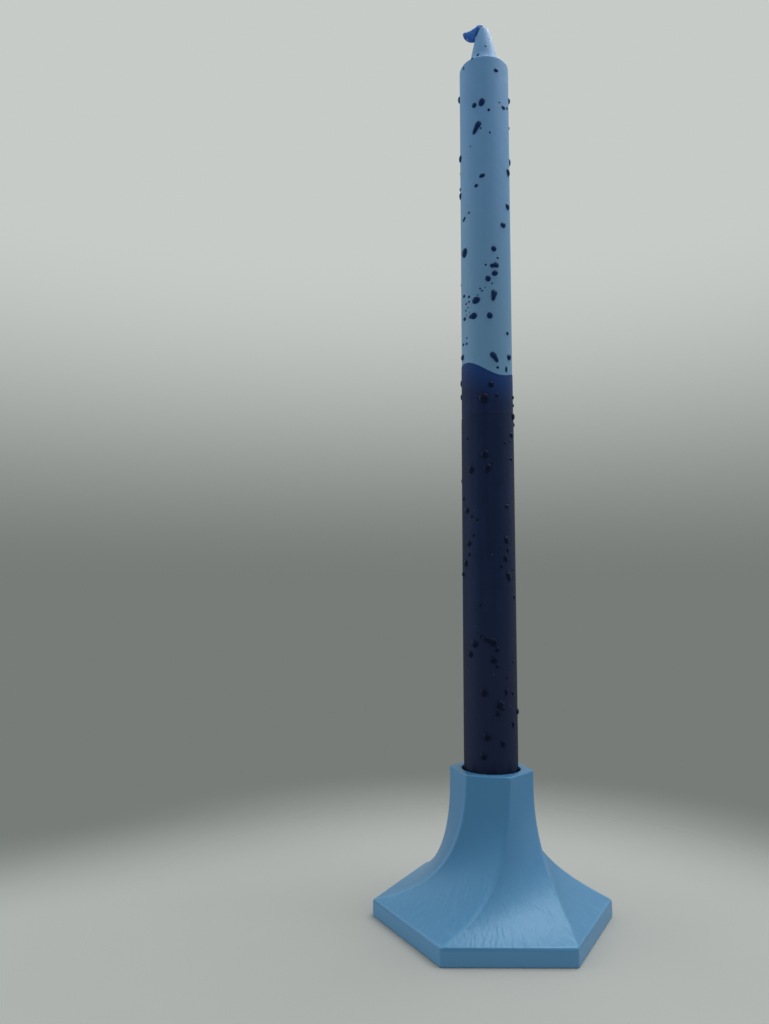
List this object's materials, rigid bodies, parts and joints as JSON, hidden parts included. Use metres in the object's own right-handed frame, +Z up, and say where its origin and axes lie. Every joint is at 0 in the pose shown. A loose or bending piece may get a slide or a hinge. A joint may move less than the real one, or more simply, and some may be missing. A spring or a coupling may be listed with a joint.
{
  "type": "dipped candle in holder",
  "caption": "Tall stick candle with dark dip-dyed lower part and spattered wax drops, standing loose in the round socket of a twisted six-sided holder with a flared foot.",
  "frame": {"origin": "middle of the holder's foot, on the face it stands on", "axes": "+Z up along the candle, -Y the front, which is a straight side of the foot, and +X to the right seen from the front"},
  "size_m": [0.098, 0.0848, 0.3894],
  "materials": {
    "holder_paint": "light blue satin paint on fine-grained wood, brush and grain streaks just showing",
    "pale_wax": "pale blue satin candle wax, slightly translucent",
    "royal_wax": "thin royal blue dipped wax, satin, paler where it thins at its edge",
    "navy_wax": "dark navy dipped wax, satin, mottled",
    "drop_wax": "glossy dark blue drops of wax",
    "tail_wax": "medium blue wax round the bent end of the wick",
    "cotton_wick": "braided waxed cotton"
  },
  "bodies": {
    "holder": {"holder": "holder_paint"},
    "candle": {"candle_body": "pale_wax", "first_dip_coat": "royal_wax", "second_dip_coat": "navy_wax", "wick": "cotton_wick", "wick_wax": "tail_wax", "wax_drop_01": "drop_wax", "wax_drop_02": "drop_wax", "wax_drop_03": "drop_wax", "wax_drop_04": "drop_wax", "wax_drop_05": "drop_wax", "wax_drop_06": "drop_wax", "wax_drop_07": "drop_wax", "wax_drop_08": "drop_wax", "wax_drop_09": "drop_wax", "wax_drop_10": "drop_wax", "wax_drop_11": "drop_wax", "wax_drop_12": "drop_wax", "wax_drop_13": "drop_wax", "wax_drop_14": "drop_wax", "wax_drop_15": "drop_wax", "wax_drop_16": "drop_wax", "wax_drop_17": "drop_wax", "wax_drop_18": "drop_wax", "wax_drop_19": "drop_wax", "wax_drop_20": "drop_wax", "wax_drop_21": "drop_wax", "wax_drop_22": "drop_wax", "wax_drop_23": "drop_wax", "wax_drop_24": "drop_wax", "wax_drop_25": "drop_wax", "wax_drop_26": "drop_wax", "wax_drop_27": "drop_wax", "wax_drop_28": "drop_wax", "wax_drop_29": "drop_wax", "wax_drop_30": "drop_wax", "wax_drop_31": "drop_wax", "wax_drop_32": "drop_wax", "wax_drop_33": "drop_wax", "wax_drop_34": "drop_wax", "wax_drop_35": "drop_wax", "wax_drop_36": "drop_wax", "wax_drop_37": "drop_wax", "wax_drop_38": "drop_wax", "wax_drop_39": "drop_wax", "wax_drop_40": "drop_wax", "wax_drop_41": "drop_wax", "wax_drop_42": "drop_wax", "wax_drop_43": "drop_wax", "wax_drop_44": "drop_wax", "wax_drop_45": "drop_wax", "wax_drop_46": "drop_wax", "wax_drop_47": "drop_wax", "wax_drop_48": "drop_wax", "wax_drop_49": "drop_wax"}
  },
  "joints": [
    {"name": "candle_lift", "type": "slide", "parent": "holder", "child": "candle", "axis": [0, 0, 1], "range_m": [0, 0.021]}
  ]
}
